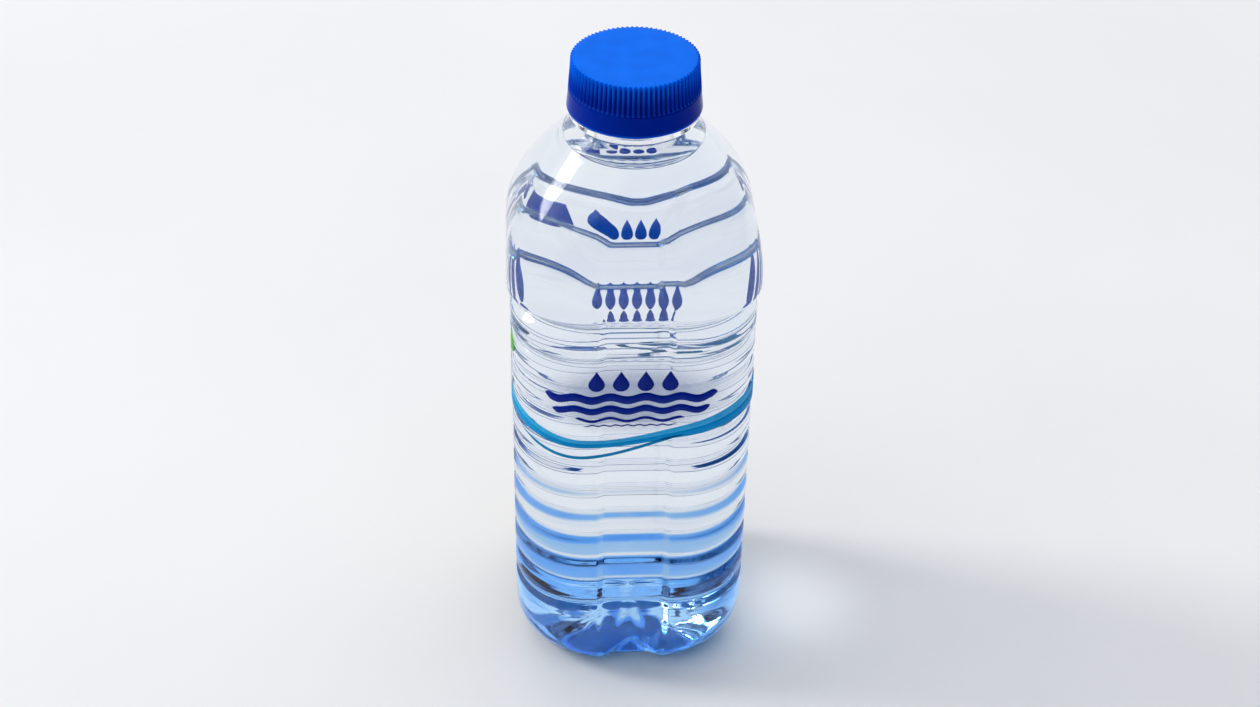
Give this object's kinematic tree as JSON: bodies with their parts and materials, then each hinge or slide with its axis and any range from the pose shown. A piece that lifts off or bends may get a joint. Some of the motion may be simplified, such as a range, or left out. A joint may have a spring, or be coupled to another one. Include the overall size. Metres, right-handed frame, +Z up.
{
  "type": "water bottle",
  "caption": "Half-litre clear bottle with a ribbed rounded-square body, wrap-round film label and blue screw cap with tamper band.",
  "frame": {"origin": "centre of the base, on the surface the bottle stands on", "axes": "+Z up along the bottle to the cap, -Y towards the front of the label"},
  "size_m": [0.065, 0.065, 0.1762],
  "materials": {
    "pet": "clear blown PET",
    "pet_neck": "clear injection-moulded PET",
    "water": "clear water",
    "film": "clear printed film",
    "glue": "clear hot-melt glue",
    "band_blue": "smooth moulded polyethylene",
    "cap_blue": "satin moulded polyethylene"
  },
  "bodies": {
    "bottle": {"bottle_body": "pet", "neck_finish": "pet_neck", "neck_thread": "pet_neck", "water": "water", "label_film": "film", "label_seam": "glue"},
    "band": {"tamper_band": "band_blue", "bridges": "band_blue"},
    "cap": {"cap_shell": "cap_blue", "cap_thread": "cap_blue"}
  },
  "joints": [
    {"name": "cap_turn", "type": "hinge", "parent": "bottle", "child": "band", "pos_m": [0, 0, 0.165], "axis": [0, 0, 1], "range_deg": [0, 1440]},
    {"name": "cap_lift", "type": "slide", "parent": "band", "child": "cap", "axis": [0, 0, 1], "range_m": [0, 0.01281]}
  ],
  "couplings": [
    {"joint": "cap_lift", "follows": "cap_turn", "m_per_rad": 0.0005093}
  ]
}
